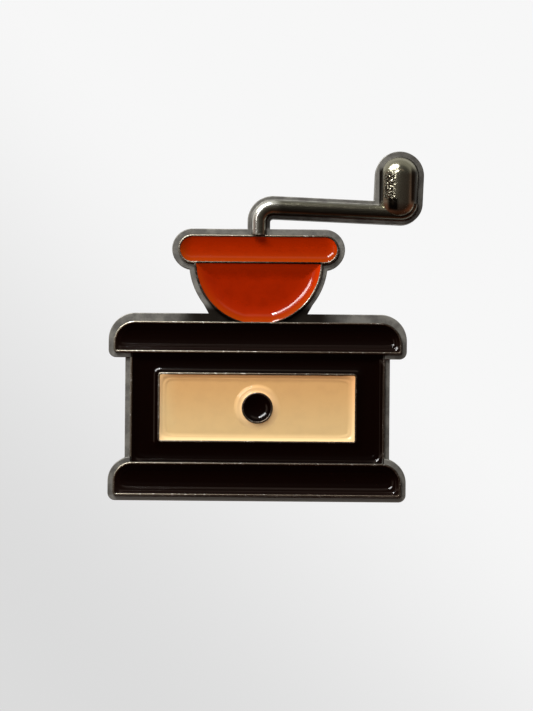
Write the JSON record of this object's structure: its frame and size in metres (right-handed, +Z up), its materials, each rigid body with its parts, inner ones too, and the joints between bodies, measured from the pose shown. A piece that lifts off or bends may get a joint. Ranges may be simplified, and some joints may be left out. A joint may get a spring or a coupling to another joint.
{
  "type": "enamel lapel pin",
  "caption": "Soft-enamel lapel pin shaped as a box coffee mill with crank, hopper and drawer, held on cloth by posts and butterfly clutches that slide off and pinch open.",
  "frame": {"origin": "on the flat back face, midway between the two posts", "axes": "upright as worn: +Z up, the decorated face looks along -Y, the posts point along +Y, +X is the crank's side"},
  "size_m": [0.0286, 0.0115, 0.0319],
  "materials": {
    "black_nickel": "gloss",
    "red_enamel": "gloss",
    "brown_enamel": "gloss",
    "cream_enamel": "gloss",
    "post_steel": "satin",
    "solder": "satin",
    "clutch_nickel": "gloss",
    "wing_nickel": "gloss"
  },
  "bodies": {
    "pin": {"base_plate": "black_nickel", "hopper_rim_enamel": "red_enamel", "hopper_bowl_enamel": "red_enamel", "top_board_enamel": "brown_enamel", "case_frame_enamel": "brown_enamel", "drawer_front_enamel": "cream_enamel", "drawer_knob_enamel": "brown_enamel", "plinth_enamel": "brown_enamel", "left_post": "post_steel", "right_post": "post_steel", "left_solder": "solder", "right_solder": "solder"},
    "left_clutch": {"left_clutch_cup": "clutch_nickel"},
    "left_upper_wing": {"left_clutch_upper_wing": "wing_nickel"},
    "left_lower_wing": {"left_clutch_lower_wing": "wing_nickel"},
    "right_clutch": {"right_clutch_cup": "clutch_nickel"},
    "right_upper_wing": {"right_clutch_upper_wing": "wing_nickel"},
    "right_lower_wing": {"right_clutch_lower_wing": "wing_nickel"}
  },
  "joints": [
    {"name": "left_clutch_slide", "type": "slide", "parent": "pin", "child": "left_clutch", "axis": [0, 1, 0], "range_m": [-0.0019, 0.0085]},
    {"name": "left_upper_wing_pinch", "type": "hinge", "parent": "left_clutch", "child": "left_upper_wing", "pos_m": [-0.0062, 0.00432, 0.0038], "axis": [-1, 0, 0], "range_deg": [0, 9], "stiffness_Nm_per_rad": 0.0025, "springref_deg": -5.73},
    {"name": "left_lower_wing_pinch", "type": "hinge", "parent": "left_clutch", "child": "left_lower_wing", "pos_m": [-0.0062, 0.00432, -0.0038], "axis": [1, 0, 0], "range_deg": [0, 9], "stiffness_Nm_per_rad": 0.0025, "springref_deg": -5.73},
    {"name": "right_clutch_slide", "type": "slide", "parent": "pin", "child": "right_clutch", "axis": [0, 1, 0], "range_m": [-0.0019, 0.0085]},
    {"name": "right_upper_wing_pinch", "type": "hinge", "parent": "right_clutch", "child": "right_upper_wing", "pos_m": [0.0062, 0.00432, 0.0038], "axis": [-1, 0, 0], "range_deg": [0, 9], "stiffness_Nm_per_rad": 0.0025, "springref_deg": -5.73},
    {"name": "right_lower_wing_pinch", "type": "hinge", "parent": "right_clutch", "child": "right_lower_wing", "pos_m": [0.0062, 0.00432, -0.0038], "axis": [1, 0, 0], "range_deg": [0, 9], "stiffness_Nm_per_rad": 0.0025, "springref_deg": -5.73}
  ],
  "couplings": [
    {"joint": "left_lower_wing_pinch", "follows": "left_upper_wing_pinch", "ratio": 1},
    {"joint": "right_lower_wing_pinch", "follows": "right_upper_wing_pinch", "ratio": 1}
  ]
}
